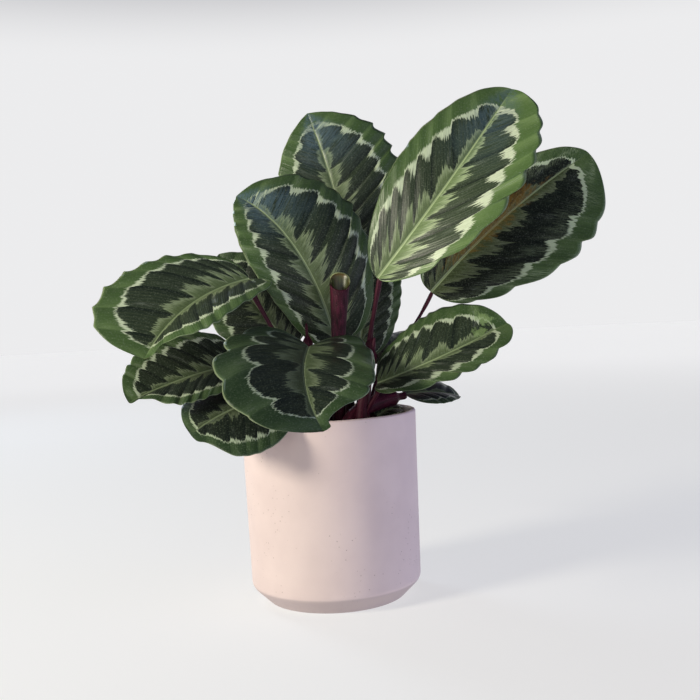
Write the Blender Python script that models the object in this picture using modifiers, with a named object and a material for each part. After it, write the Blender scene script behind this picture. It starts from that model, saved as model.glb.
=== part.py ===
"""A potted calathea: ceramic pot, soil, broad leaf blades on stalks, and one rolled new leaf.

Metres, +Z up, +X to the right and the front towards -Y. The origin is the centre of the pot's base.
"""
import math
from typing import NamedTuple

import bmesh
import bpy
import numpy as np
from mathutils import Matrix, Vector

MM = 0.001
GAP = 0.3 * MM

POT_HEIGHT = 147 * MM
POT_RADIUS = 70 * MM
POT_LOWER_RADIUS = 68 * MM
POT_BASE_RADIUS = 56 * MM
CHAMFER_HEIGHT = 13 * MM
WALL = 4 * MM
FLOOR = 6 * MM
TURN_ROUND = 8 * MM
RIM_ROUND = 1.6 * MM
POT_STEPS = 56

SOIL_TOP = 128 * MM

BLADE_THICKNESS = 1.0 * MM
BLADE_STATIONS = 18
BLADE_STRIPS = 3
VEIN_SWEEP = 1.7

STALK_FOOT_RADIUS = 4.2 * MM
STALK_NECK_RADIUS = 1.8 * MM
STALK_TOP_RADIUS = 2.4 * MM
STALK_POINTS = 12
STALK_COLLAR = 4 * MM
STALK_SWING = 0.35

ROLL_STALK_FOOT = (8, -8)
ROLL_FOOT = Vector((10, -14, 190)) * MM
ROLL_MOUTH = Vector((14.5, -16, 251)) * MM
ROLL_RADII = (5.5 * MM, 8.6 * MM)
ROLL_WALL = 1.2 * MM
ROLL_SLANT = math.radians(40)


class Leaf(NamedTuple):
    """Lengths in millimetres and angles in degrees; a pair is the blade's left and right half."""

    rib: tuple  # base, middle and tip of the midrib
    face: tuple  # azimuth and elevation that the upper side looks towards, 0 being the front
    width: tuple  # widest from midrib to margin
    fold: tuple  # how far each half lifts at the midrib
    curl: tuple  # how far it goes on bending towards the margin
    foot: tuple  # where its stalk stands on the soil
    reach: float = 0.3  # 0 has the stalk arrive straight up, 1 along the midrib
    stout: tuple = (1.0, 1.0, 1.0)  # the stalk's foot, neck and top against the others
    lobe: tuple = (0.08, 0.08)  # how far the base runs back past the stalk
    egg: tuple = (0.0, 0.0)  # above 0 is widest near the base, below 0 near the tip
    blunt: tuple = (0.9, 0.9)  # base and tip; lower is rounder
    nip: tuple = (0.0, 0.0)  # how far each half draws in just before the tip


LEAVES = {
    "high_right": Leaf(
        rib=((44, -15, 252), (101, -30, 322), (159, -5, 397)), face=(-20, 25), width=(46, 55),
        fold=(15, 8), curl=(-10, -10), foot=(26, 6), lobe=(0.03, 0), egg=(-0.05, -0.2), blunt=(1.2, 1.1),
    ),
    "far_right": Leaf(
        rib=((91, 30, 240), (160, 42, 302), (237, 60, 354)), face=(-5, 20), width=(36, 66),
        fold=(10, 6), curl=(0, -10), foot=(36, 16), reach=0.6, stout=(1.0, 0.8, 0.8), lobe=(0.03, 0.03),
        egg=(0.1, -0.18), blunt=(0.9, 1.15),
    ),
    "high_back": Leaf(
        rib=((26, 62, 272), (13, 62, 340), (-5, 75, 402)), face=(-10, 20), width=(44, 58),
        fold=(10, 10), curl=(-30, -40), foot=(18, 24), egg=(-0.1, -0.25), blunt=(0.9, 1.8),
    ),
    "middle": Leaf(
        rib=((9, 10, 205), (-20, -8, 280), (-66, 20, 326)), face=(-10, 30), width=(39, 68),
        fold=(20, 10), curl=(-30, -60), foot=(8, 12), egg=(0, -0.3), blunt=(0.8, 1.7),
    ),
    "far_left": Leaf(
        rib=((-56, -22, 256), (-100, -50, 237), (-130, -80, 200)), face=(-25, 50), width=(46, 55),
        fold=(20, 30), curl=(-30, -10), foot=(-14, 0), lobe=(0.35, 0.05), egg=(0, -0.33), blunt=(0.9, 0.75),
        nip=(0.6, 0),
    ),
    "front": Leaf(
        rib=((-12, -55, 202), (-15, -120, 180), (-4, -155, 150)), face=(10, 60), width=(50, 64),
        fold=(15, 25), curl=(-30, -30), foot=(-2, -12), lobe=(0.8, 0.3), egg=(0.25, 0), blunt=(1.0, 0.7),
        nip=(0.7, 0),
    ),
    "low_left": Leaf(
        rib=((-66, -20, 190), (-106, -40, 183), (-147, -60, 168)), face=(-15, 50), width=(36, 42),
        fold=(15, 25), curl=(-20, -10), foot=(-18, -10), reach=0.5, egg=(0, 0.05), nip=(0.8, 0),
    ),
    "bottom_left": Leaf(
        rib=((-42, -47, 166), (-74, -64, 158), (-101, -72, 143)), face=(-10, 50), width=(46, 38),
        fold=(5, 5), curl=(-30, -20), foot=(-12, -20), reach=0.5, lobe=(0.25, 0.08), egg=(0.1, -0.2),
        blunt=(0.9, 0.8), nip=(0.4, 0),
    ),
    "right": Leaf(
        rib=((39, -30, 170), (90, -45, 190), (140, -40, 212)), face=(10, 50), width=(46, 33),
        fold=(18, 25), curl=(-30, -30), foot=(24, -19), lobe=(0.03, 0.03), egg=(0.08, 0), blunt=(0.75, 0.85),
    ),
    "small_right": Leaf(
        rib=((63, 12, 157), (89, 19, 157), (110, 26, 152)), face=(0, 72), width=(30, 26),
        fold=(15, 15), curl=(-30, -30), foot=(14, -17), reach=1, stout=(1.0, 2.5, 1.1), egg=(0, 0.3),
        blunt=(0.9, 1.2),
    ),
    "behind_right": Leaf(
        rib=((28, 28, 190), (36, 34, 240), (45, 48, 285)), face=(0, 20), width=(34, 31),
        fold=(10, 10), curl=(-30, -30), foot=(26, 20),
    ),
    "behind_left": Leaf(
        rib=((-28, 14, 200), (-56, 22, 238), (-84, 30, 280)), face=(-10, 20), width=(40, 38),
        fold=(10, 10), curl=(-30, -30), foot=(-6, 12), blunt=(0.9, 1.6),
    ),
    "tiny": Leaf(
        rib=((40, 2, 141), (50, 8, 146), (62, 14, 144)), face=(10, 65), width=(10, 12),
        fold=(10, 10), curl=(-30, -30), foot=(36, 0), stout=(0.4, 0.4, 0.4),
    ),
    "back_high": Leaf(
        rib=((-22, 46, 215), (-45, 88, 268), (-62, 130, 270)), face=(180, 60), width=(38, 38),
        fold=(12, 12), curl=(-30, -30), foot=(-4, 24),
    ),
    "back_right": Leaf(
        rib=((12, 52, 180), (24, 96, 208), (24, 138, 192)), face=(180, 65), width=(30, 30),
        fold=(12, 12), curl=(-30, -30), foot=(16, 36),
    ),
    "back_low": Leaf(
        rib=((-14, 46, 168), (-38, 90, 190), (-62, 128, 172)), face=(200, 70), width=(38, 38),
        fold=(12, 12), curl=(-30, -30), foot=(4, 34),
    ),
    "back_side": Leaf(
        rib=((44, 42, 182), (72, 78, 205), (94, 112, 202)), face=(160, 70), width=(30, 30),
        fold=(12, 12), curl=(-30, -30), foot=(32, 30),
    ),
}


def clear_scene():
    for obj in list(bpy.data.objects):
        bpy.data.objects.remove(obj)


def material(name, colour, roughness):
    made = bpy.data.materials.new(name)
    made.use_nodes = True
    shader = made.node_tree.nodes["Principled BSDF"]
    shader.inputs["Base Color"].default_value = (*colour, 1)
    shader.inputs["Roughness"].default_value = roughness
    shader.inputs["Metallic"].default_value = 0
    return made


def add(name, data, look, parts, location=(0, 0, 0)):
    obj = bpy.data.objects.new(name, data)
    obj.location = location
    data.materials.append(look)
    parts.objects.link(obj)
    return obj


def turned(name, profile, look, parts, steps=POT_STEPS):
    """A solid of revolution from a profile that starts and ends on the axis."""
    mesh = bpy.data.meshes.new(name)
    points = [(radius, 0, height) for radius, height in profile]
    mesh.from_pydata(points, [(i, i + 1) for i in range(len(points) - 1)], [])
    obj = add(name, mesh, look, parts)
    screw = obj.modifiers.new("turn", "SCREW")
    screw.steps = steps
    screw.render_steps = steps
    screw.use_merge_vertices = True
    screw.merge_threshold = 0.01 * MM
    screw.use_smooth_shade = True
    return obj


def arc(centre, radius, start, end, count):
    """Points of an arc in the profile's plane, from one angle to another in degrees."""
    angles = np.radians(np.linspace(start, end, count))
    return [(centre[0] + radius * math.cos(a), centre[1] + radius * math.sin(a)) for a in angles]


def outer_radius(height):
    """The pot's wall above the chamfer."""
    lower = CHAMFER_HEIGHT
    share = (height - lower) / (POT_HEIGHT - lower)
    return POT_LOWER_RADIUS + share * (POT_RADIUS - POT_LOWER_RADIUS)


def chamfer_turn(inset):
    """The rounded turn from wall to chamfer, moved inwards by inset."""
    lean = math.degrees(math.atan2(CHAMFER_HEIGHT, POT_LOWER_RADIUS - POT_BASE_RADIUS))
    tangent = TURN_ROUND * math.tan(math.radians(90 - lean) / 2)
    centre = (POT_LOWER_RADIUS - TURN_ROUND, CHAMFER_HEIGHT + tangent)
    return arc(centre, TURN_ROUND - inset, 0, lean - 90, 5)


def build_pot(parts):
    look = material("blush ceramic", (0.80, 0.68, 0.62), 0.6)
    rim = POT_HEIGHT - RIM_ROUND
    inner_rim = POT_RADIUS - WALL
    inside = [(0, FLOOR), (POT_BASE_RADIUS - WALL, FLOOR)]
    inside += reversed(chamfer_turn(WALL))
    inside += arc((inner_rim + RIM_ROUND, rim), RIM_ROUND, 180, 90, 4)
    outside = arc((POT_RADIUS - RIM_ROUND, rim), RIM_ROUND, 90, 0, 4)
    outside += chamfer_turn(0)
    outside += arc((POT_BASE_RADIUS - RIM_ROUND, RIM_ROUND), RIM_ROUND, -45, -90, 3)
    return turned("pot", inside + outside + [(0, 0)], look, parts)


def build_soil(parts):
    look = material("potting soil", (0.05, 0.035, 0.025), 0.95)
    floor = FLOOR + GAP
    top_radius = outer_radius(SOIL_TOP) - WALL - 2 * GAP
    base_radius = POT_BASE_RADIUS - WALL - 2 * GAP
    side = [(x - 2 * GAP, z) for x, z in chamfer_turn(WALL)]
    profile = [(0, SOIL_TOP), (top_radius, SOIL_TOP)] + side + [(base_radius, floor), (0, floor)]
    return turned("soil", profile, look, parts)


def unit(vectors):
    return vectors / np.linalg.norm(vectors, axis=-1, keepdims=True)


def facing(azimuth, elevation):
    around, up = math.radians(azimuth), math.radians(elevation)
    return np.array([math.sin(around) * math.cos(up), -math.cos(around) * math.cos(up), math.sin(up)])


def rib_curve(leaf, share):
    """Points and directions of the midrib, a parabola through its base, middle and tip."""
    base, middle, tip = (np.array(point) * MM for point in leaf.rib)
    pull = 2 * middle - (base + tip) / 2
    s = np.asarray(share)[..., None]
    points = (1 - s) ** 2 * base + 2 * s * (1 - s) * pull + s**2 * tip
    along = unit((1 - s) * (pull - base) + s * (tip - pull))
    return points, along


def rib_length(leaf):
    points, _ = rib_curve(leaf, np.linspace(0, 1, 101))
    return np.linalg.norm(np.diff(points, axis=0), axis=1).sum()


def bent(leaf, length, x, y):
    """Where a point of the flat blade, x along the midrib and y to its left, lies in space."""
    points, along = rib_curve(leaf, x / length)
    look = facing(*leaf.face)
    up = unit(look - along * (along @ look)[..., None])
    left = np.cross(up, along)
    half = 0 if y.mean() > 0 else 1
    wide = leaf.width[half] * MM
    fold, curl = np.radians(leaf.fold[half]), np.radians(leaf.curl[half] + 0.01)
    angle = fold + curl * np.abs(y) / wide
    across = wide / curl * (np.sin(angle) - np.sin(fold)) * np.sign(y)
    height = wide / curl * (np.cos(fold) - np.cos(angle))
    return points + left * across[..., None] + up * height[..., None]


def half_blade(leaf, half):
    """A grid of points on one half, from midrib to margin at each station from base to tip."""
    length = rib_length(leaf)
    turn = np.linspace(0, math.pi, BLADE_STATIONS + 1)
    share = (1 - np.cos(turn)) / 2
    reach = np.sin(turn).clip(0) ** (leaf.blunt[0] + (leaf.blunt[1] - leaf.blunt[0]) * share)
    nip = 1 - leaf.nip[half] * np.exp(-(((share - 0.93) * 9) ** 2))
    margin_y = leaf.width[half] * MM * reach * (1 + leaf.egg[half] * np.cos(turn)) * nip
    margin_x = length * (share - leaf.lobe[half] * np.sin(turn) * (1 - share) ** 4)
    rib_x = length * share**VEIN_SWEEP
    step = np.linspace(0, 1, BLADE_STRIPS + 1)
    x = rib_x[:, None] + (margin_x - rib_x)[:, None] * step
    y = np.maximum(margin_y[:, None] * step, 1e-9) * (1, -1)[half]
    return bent(leaf, length, x, y)


def blade_mesh(name, leaf, origin):
    """Both halves joined along the midrib, as an open surface that faces the leaf's upper side."""
    built = bmesh.new()
    for half in (0, 1):
        grid = half_blade(leaf, half) - origin
        verts = [[built.verts.new(point) for point in row] for row in grid]
        for low, high in zip(verts, verts[1:]):
            for i in range(BLADE_STRIPS):
                ring = [low[i], high[i], high[i + 1], low[i + 1]]
                built.faces.new(ring if half == 0 else ring[::-1])
    bmesh.ops.remove_doubles(built, verts=built.verts, dist=0.01 * MM)
    bmesh.ops.dissolve_degenerate(built, edges=built.edges, dist=0.01 * MM)
    for face in built.faces:
        face.smooth = True
    mesh = bpy.data.meshes.new(name)
    built.to_mesh(mesh)
    built.free()
    return mesh


def build_blade(name, leaf, look, parts):
    base = np.array(leaf.rib[0]) * MM
    obj = add(f"blade_{name}", blade_mesh(name, leaf, base), look, parts, base)
    skin = obj.modifiers.new("thickness", "SOLIDIFY")
    skin.thickness = BLADE_THICKNESS
    skin.offset = -1
    return obj


def tube(name, points, radii, look, parts):
    curve = bpy.data.curves.new(name, "CURVE")
    curve.dimensions = "3D"
    curve.bevel_depth = 1
    curve.bevel_resolution = 2
    curve.use_fill_caps = True
    spline = curve.splines.new("POLY")
    spline.points.add(len(points) - 1)
    for knot, point, radius in zip(spline.points, points, radii):
        knot.co = (*(point - points[0]), 1)
        knot.radius = radius
    return add(name, curve, look, parts, points[0])


def bezier(points, count):
    s = np.linspace(0, 1, count)[:, None]
    a, b, c, d = points
    return (1 - s) ** 3 * a + 3 * s * (1 - s) ** 2 * b + 3 * s**2 * (1 - s) * c + s**3 * d


def stalk_top(leaf):
    """Where the stalk ends, just under the blade's base, and the way it is heading there."""
    base, along = rib_curve(leaf, 0.0)
    look = facing(*leaf.face)
    up = unit(look - along * (along @ look))
    heading = unit(along * leaf.reach + np.array([0, 0, 1 - leaf.reach]))
    tilt = math.sqrt(max(0, 1 - (heading @ up) ** 2))
    drop = BLADE_THICKNESS + 2 * GAP + STALK_TOP_RADIUS * leaf.stout[2] * tilt
    return base - up * drop, heading


def stalk_route(foot, top, heading):
    """A curve that leaves the soil straight up and ends at top, going the way of heading."""
    start = np.array([*foot, 0]) * MM + [0, 0, SOIL_TOP + GAP]
    upright = start + [0, 0, STALK_COLLAR]
    span = np.linalg.norm(top - upright)
    first = upright + [0, 0, STALK_SWING * span]
    last = top - heading * STALK_SWING * span
    return np.vstack([start, bezier((upright, first, last, top), STALK_POINTS - 1)])


def build_stalk(name, leaf, look, parts):
    top, heading = stalk_top(leaf)
    points = stalk_route(leaf.foot, top, heading)
    s = np.linspace(0, 1, STALK_POINTS)
    foot, neck, last = np.array((STALK_FOOT_RADIUS, STALK_NECK_RADIUS, STALK_TOP_RADIUS)) * leaf.stout
    taper = foot + (neck - foot) * np.minimum(s / 0.6, 1)
    radii = taper + (last - neck) * np.clip((s - 0.75) / 0.15, 0, 1)
    tube(f"stalk_{name}", points, radii, look, parts)


def cut(obj, cutter):
    tool = obj.modifiers.new("cut", "BOOLEAN")
    tool.object = cutter
    cutter.hide_render = True
    cutter.display_type = "WIRE"


def build_rolled_leaf(look, parts, cutters):
    """A tapered tube, closed below, whose mouth slants down towards the front."""
    axis = ROLL_MOUTH - ROLL_FOOT
    length = axis.length
    small, large = ROLL_RADII
    overshoot = large * math.tan(ROLL_SLANT)
    inner = large - ROLL_WALL
    profile = [(0, 2 * ROLL_WALL), (small - ROLL_WALL, 3 * ROLL_WALL), (inner, length + overshoot)]
    profile += [(large, length + overshoot), (small, 0), (0, 0)]
    roll = turned("rolled_leaf", profile, look, parts, steps=20)
    roll.location = ROLL_FOOT
    roll.rotation_euler = axis.to_track_quat("Z", "Y").to_euler()
    mesh = bpy.data.meshes.new("mouth cutter")
    block = bmesh.new()
    bmesh.ops.create_cube(block, size=8 * large)
    bmesh.ops.translate(block, verts=block.verts, vec=(0, 0, 4 * large))
    block.to_mesh(mesh)
    block.free()
    cutter = bpy.data.objects.new("mouth cutter", mesh)
    cutter.matrix_world = Matrix.Translation(ROLL_MOUTH) @ Matrix.Rotation(ROLL_SLANT, 4, "X")
    cutters.objects.link(cutter)
    cut(roll, cutter)


def build_rolled_stalk(look, parts):
    axis = np.array((ROLL_MOUTH - ROLL_FOOT).normalized())
    points = stalk_route(ROLL_STALK_FOOT, np.array(ROLL_FOOT) - axis * 2 * GAP, axis)
    radii = np.linspace(STALK_FOOT_RADIUS, 0.8 * ROLL_RADII[0], STALK_POINTS)
    tube("stalk_rolled_leaf", points, radii, look, parts)


def collection(name):
    made = bpy.data.collections.new(name)
    bpy.context.scene.collection.children.link(made)
    return made


def main():
    clear_scene()
    parts = collection("potted calathea")
    cutters = collection("cutters")
    build_pot(parts)
    build_soil(parts)
    leaf_look = material("leaf", (0.06, 0.11, 0.06), 0.4)
    stalk_look = material("stalk", (0.07, 0.015, 0.025), 0.45)
    for name, leaf in LEAVES.items():
        build_blade(name, leaf, leaf_look, parts)
        build_stalk(name, leaf, stalk_look, parts)
    build_rolled_leaf(leaf_look, parts, cutters)
    build_rolled_stalk(stalk_look, parts)


main()
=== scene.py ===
"""Looks of a potted calathea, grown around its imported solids. Metres, +Z up, the front towards -Y."""

import math
from typing import NamedTuple

import bmesh
import bpy
import numpy as np
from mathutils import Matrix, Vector, noise


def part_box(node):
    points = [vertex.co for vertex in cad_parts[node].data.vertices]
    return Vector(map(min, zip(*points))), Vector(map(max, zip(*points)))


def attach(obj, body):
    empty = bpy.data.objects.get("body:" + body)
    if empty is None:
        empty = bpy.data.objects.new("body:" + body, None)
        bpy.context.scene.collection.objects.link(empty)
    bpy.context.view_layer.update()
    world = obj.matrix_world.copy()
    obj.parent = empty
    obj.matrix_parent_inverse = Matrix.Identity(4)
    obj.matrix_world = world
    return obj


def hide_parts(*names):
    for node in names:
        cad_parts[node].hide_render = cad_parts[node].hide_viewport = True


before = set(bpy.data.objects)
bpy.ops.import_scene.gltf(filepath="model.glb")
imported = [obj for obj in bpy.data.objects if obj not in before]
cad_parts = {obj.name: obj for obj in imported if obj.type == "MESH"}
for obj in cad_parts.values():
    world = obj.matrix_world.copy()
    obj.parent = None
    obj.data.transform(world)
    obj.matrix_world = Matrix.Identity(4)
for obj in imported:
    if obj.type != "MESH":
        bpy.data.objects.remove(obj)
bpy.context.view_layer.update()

MM = 0.001
FULL_TURN = 2 * math.pi
WELD = 0.002 * MM  # points closer than this become one

# ---------------------------------------------------------------- the plant's own sizes

POT_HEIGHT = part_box("pot")[1][2]
POT_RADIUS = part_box("pot")[1][0]
POT_LOWER_RADIUS = POT_RADIUS - 2 * MM
POT_BASE_RADIUS = 0.8 * POT_RADIUS
CHAMFER_HEIGHT = 13 * MM
WALL = 4 * MM
FLOOR = 6 * MM
TURN_ROUND = 8 * MM
RIM_ROUND = 1.6 * MM
POT_STEPS = 176
RIM_POINTS = 6
TURN_POINTS = 9
FOOT_POINTS = 5
INNER_BANDS, OUTER_BANDS, CHAMFER_BANDS, SOIL_BANDS = 10, 14, 3, 3
SOIL_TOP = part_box("soil")[1][2]
SOIL_GAP = 0.6 * MM  # between the mix and the wall
SOIL_LIFT = 0.3 * MM  # between the mix and the pot's floor
SOIL_RINGS = 34
SOIL_STEPS = 120
CRUMB_DEPTH = 9 * MM  # how far below the soil's level crumbs still lie
CRUMB_SLOPE = 0.6  # the least upward part of the normal where crumbs lie
CRUMB_SPIN = (6.28, 6.28, 6.28)
CRUMBS = {  # finish, colour, how much lighter it gets, density, sizes, stretch, roughness and seed
    "peat_crumbs": ("peat crumb", (0.045, 0.026, 0.015), 2.6, 60000.0, (0.5, 1.5), (1.0, 1.0, 0.8), 0.9, 3),
    "bark_chips": ("bark chip", (0.100, 0.052, 0.026), 2.0, 7000.0, (1.2, 2.8), (1.5, 0.8, 0.45), 0.8, 8),
    "perlite_grains": (
        "perlite grain", (0.620, 0.600, 0.560), 1.3, 4500.0, (0.5, 1.3), (1.0, 1.0, 1.0), 0.5, 11,
    ),
}

BLADE_EDGE = 0.35 * MM
RIDGE_HEIGHT = 1.5 * MM
RIDGE_HALF_WIDTH = 1.1 * MM
GROOVE_DEPTH = 0.5 * MM
EDGE_TAPER = 12  # the thickness runs out over one part in this many
MIDRIB_CROWDING = 1.3  # above 1 sets the points across closer together at the midrib
BLADE_POINTS = {"Points along": 181, "Points across": 57}
NIP_PLACE = 0.93  # where along the margin a half draws in before the tip
VEIN_STRAY = 0.22  # how far side veins stray from their even places, in gaps
FIRST_VEIN = 3  # keeps the count of veins above 0
FINE_LINES = 7  # painted lines between two side veins
RING_WIDTH = 0.020
RING_SOFTNESS = 0.009
RING_FRAY = 0.17
LEAF_GLOSS = 0.22
STALK_GLOSS = 0.15

STALK_FOOT_RADIUS = 4.2 * MM
STALK_NECK_RADIUS = 1.7 * MM
STALK_TOP_RADIUS = 2.2 * MM
STALK_ROOT = 10 * MM
STALK_ROOT_SHARE = 0.08  # of the stalk's points
STALK_SWING = 0.35
STALK_TAPERS = (60, 40)  # foot and top round off over one part in this many
SHEATHED = 0.42  # the share of a stalk that its sheath wraps
SHEATH_SLANT = 0.06
JOINT_START, JOINT_END = 0.84, 0.91  # where a stalk swells below its blade
STALK_POINTS = {"Points along": 65, "Points around": 23}

ROLL_STALK_FOOT = (8, -8)
ROLL_FOOT = Vector((10, -14, 190)) * MM
ROLL_MOUTH = Vector((14.5, -16, 251)) * MM
ROLL_RADII = (5.2 * MM, 8.5 * MM)
ROLL_STALK_RADII = (STALK_FOOT_RADIUS, 4.0 * MM, 4.6 * MM)
ROLL_OVERLAP = 8 * MM  # how far its stalk reaches up inside it
ROLL_SLANT = math.radians(40)
ROLL_TURNS = 1.4
ROLL_START = 0.1
ROLL_GAP = 1.1 * MM  # how much closer to the axis each turn lies
ROLL_FLARE = 0.35 * MM
ROLL_TAPER = 40
ROLL_SHEET = 0.5 * MM
ROLL_POINTS = {"Points along": 61, "Points around": 141}

SHEATH_SEED = 40
SHEATH_RADII = (4.5 * MM, 4.2 * MM, 1.2 * MM)
SHEATHS = {  # foot and tip of the pointed sheaths that stand among the stalks
    "right": ((28, -6), (39, -4, 216)),
    "front": ((25, -22), (39, -26, 206)),
    "left": ((-12, -4), (-14, -8, 220)),
    "back": ((8, 30), (2, 40, 196)),
}


class Leaf(NamedTuple):
    """Lengths in millimetres and angles in degrees; a pair is the blade's left and right half."""

    rib: tuple  # base, middle and tip of the midrib
    face: tuple  # azimuth and elevation that the upper side looks towards, 0 being the front
    width: tuple  # widest from midrib to margin
    fold: tuple  # how far each half lifts at the midrib
    curl: tuple  # how far it goes on bending towards the margin
    foot: tuple  # where its stalk stands on the soil
    reach: float = 0.3  # 0 has the stalk arrive straight up, 1 along the midrib
    stout: tuple = (1.0, 1.0, 1.0)  # the stalk's foot, neck and top against the others
    lobe: tuple = (0.08, 0.08)  # how far the base runs back past the stalk
    egg: tuple = (0.0, 0.0)  # above 0 is widest near the base, below 0 near the tip
    blunt: tuple = (0.9, 0.9)  # base and tip; lower is rounder
    nip: tuple = (0.0, 0.0)  # how far each half draws in just before the tip
    veins: tuple = (8.0, 8.0)  # side veins to each half
    sweep: float = 2.4  # how far the side veins lean towards the tip
    crowd: float = 1.6  # above 1 sets the side veins closer together towards the tip
    pleat: float = 1.2  # how far the blade swells between two veins
    ruffle: float = 1.0  # how far the margin waves
    scallop: tuple = (0.03, 0.03)  # above 0 notches the margin at each vein, below 0 draws it out there
    ring: tuple = (0.78, 0.03, 0.06)  # the pale ring: outer edge, its bow between veins, its blots
    tone: tuple = (0.3, 0.3)  # 0 is a dark blade, 1 a light one: partly its age, partly painted light and shade


LEAVES = {
    "high_right": Leaf(
        rib=((44, -15, 252), (101, -30, 322), (159, -5, 397)), face=(-20, 25), width=(46, 55),
        fold=(15, 8), curl=(-10, -10), foot=(26, 6), lobe=(0.03, 0), egg=(-0.05, -0.2), blunt=(1.2, 1.1),
        sweep=3, ruffle=0.6, scallop=(0.0, 0.08), ring=(0.76, 0.05, 0.13), tone=(0.50, 0.95),
    ),
    "far_right": Leaf(
        rib=((91, 30, 240), (160, 42, 302), (237, 60, 354)), face=(-5, 20), width=(36, 66), fold=(10, 6),
        curl=(0, -10), foot=(36, 16), reach=0.6, stout=(1.0, 0.8, 0.8), lobe=(0.03, 0.03),
        egg=(0.1, -0.18), blunt=(0.9, 1.15), tone=(0.22, 0.32), scallop=(0.02, 0.07), veins=(8.0, 6.0),
        crowd=0.9,
    ),
    "high_back": Leaf(
        rib=((26, 62, 272), (13, 62, 340), (-5, 75, 402)), face=(-10, 20), width=(44, 58), fold=(10, 10),
        curl=(-30, -40), foot=(18, 24), egg=(-0.1, -0.25), blunt=(0.9, 1.8), pleat=3.0,
        ring=(0.76, 0.03, 0.09), scallop=(-0.03, -0.09), veins=(7.0, 8.0), tone=(0.42, 0.44), crowd=2.2,
    ),
    "middle": Leaf(
        rib=((9, 10, 205), (-20, -8, 280), (-66, 20, 326)), face=(-10, 30), width=(39, 68), fold=(20, 10),
        curl=(-30, -60), foot=(8, 12), egg=(0, -0.3), blunt=(0.8, 1.7), pleat=2.8,
        ring=(0.76, 0.06, 0.10), scallop=(-0.02, -0.10), tone=(0.42, 0.36), crowd=1.8, ruffle=1.6,
    ),
    "far_left": Leaf(
        rib=((-56, -22, 256), (-100, -50, 237), (-130, -80, 200)), face=(-25, 50), width=(46, 55),
        fold=(20, 30), curl=(-30, -10), foot=(-14, 0), lobe=(0.35, 0.05), egg=(0, -0.33),
        blunt=(0.9, 0.75), nip=(0.6, 0), ruffle=0.8, tone=(0.55, 0.50), scallop=(0.0, -0.07),
        ring=(0.78, 0.06, 0.05), crowd=1.3,
    ),
    "front": Leaf(
        rib=((-12, -55, 202), (-15, -120, 180), (-4, -155, 150)), face=(10, 60), width=(50, 64),
        fold=(15, 25), curl=(-30, -30), foot=(-2, -12), lobe=(0.8, 0.3), egg=(0.25, 0), blunt=(1.0, 0.7),
        nip=(0.7, 0), veins=(5.0, 5.0), pleat=0.8, ring=(0.72, 0.16, 0.03), tone=(0.30, 0.12),
        scallop=(0.05, 0.10), crowd=1.0,
    ),
    "low_left": Leaf(
        rib=((-66, -20, 190), (-106, -40, 183), (-147, -60, 168)), face=(-15, 50), width=(36, 42),
        fold=(15, 25), curl=(-20, -10), foot=(-18, -10), reach=0.5, egg=(0, 0.05), nip=(0.8, 0),
        tone=(0.28, 0.32), scallop=(0.03, 0.06),
    ),
    "bottom_left": Leaf(
        rib=((-42, -47, 166), (-74, -64, 158), (-101, -72, 143)), face=(-10, 50), width=(46, 38),
        fold=(5, 5), curl=(-30, -20), foot=(-12, -20), reach=0.5, lobe=(0.25, 0.08), egg=(0.1, -0.2),
        blunt=(0.9, 0.8), nip=(0.4, 0), tone=(0.10, 0.10), ruffle=0.3, pleat=0.6, scallop=(0.0, 0.0),
        veins=(6.0, 6.0),
    ),
    "right": Leaf(
        rib=((39, -30, 170), (90, -45, 190), (140, -40, 212)), face=(10, 50), width=(46, 33),
        fold=(18, 25), curl=(-30, -30), foot=(24, -19), lobe=(0.03, 0.03), egg=(0.08, 0),
        blunt=(0.75, 0.85), ruffle=0.8, tone=(0.38, 0.42), scallop=(0.0, 0.14), veins=(8.0, 6.0),
        ring=(0.76, 0.05, 0.10), crowd=1.1,
    ),
    "small_right": Leaf(
        rib=((63, 12, 157), (89, 19, 157), (110, 26, 152)), face=(0, 72), width=(30, 26), fold=(15, 15),
        curl=(-30, -30), foot=(14, -17), reach=1, stout=(1.6, 3.8, 1.4), egg=(0, 0.3), blunt=(0.9, 1.2),
        scallop=(0.0, 0.0), ruffle=0.2, veins=(4.0, 4.0), tone=(0.2, 0.2), pleat=1.6,
    ),
    "behind_right": Leaf(
        rib=((28, 28, 190), (36, 34, 240), (45, 48, 285)), face=(0, 20), width=(34, 31), fold=(10, 10),
        curl=(-30, -30), foot=(26, 20), pleat=1.5, tone=(0.3, 0.3),
    ),
    "behind_left": Leaf(
        rib=((-28, 14, 200), (-56, 22, 238), (-84, 30, 280)), face=(-10, 20), width=(40, 38),
        fold=(10, 10), curl=(-30, -30), foot=(-6, 12), blunt=(0.9, 1.6), tone=(0.18, 0.18),
        scallop=(0.03, 0.03),
    ),
    "tiny": Leaf(
        rib=((40, 2, 141), (50, 8, 146), (62, 14, 144)), face=(10, 65), width=(10, 12), fold=(10, 10),
        curl=(-30, -30), foot=(36, 0), stout=(0.4, 0.4, 0.4), veins=(5.0, 5.0), pleat=0.3, ruffle=0.3,
    ),
    "back_high": Leaf(
        rib=((-22, 46, 215), (-45, 88, 268), (-62, 130, 270)), face=(180, 60), width=(38, 38),
        fold=(12, 12), curl=(-30, -30), foot=(-4, 24), tone=(0.5, 0.5),
    ),
    "back_right": Leaf(
        rib=((12, 52, 180), (24, 96, 208), (24, 138, 192)), face=(180, 65), width=(30, 30), fold=(12, 12),
        curl=(-30, -30), foot=(16, 36),
    ),
    "back_low": Leaf(
        rib=((-14, 46, 168), (-38, 90, 190), (-62, 128, 172)), face=(200, 70), width=(38, 38),
        fold=(12, 12), curl=(-30, -30), foot=(4, 34),
    ),
    "back_side": Leaf(
        rib=((44, 42, 182), (72, 78, 205), (94, 112, 202)), face=(160, 70), width=(30, 30), fold=(12, 12),
        curl=(-30, -30), foot=(32, 30),
    ),
}

# ---------------------------------------------------------------- node trees as expressions


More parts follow.
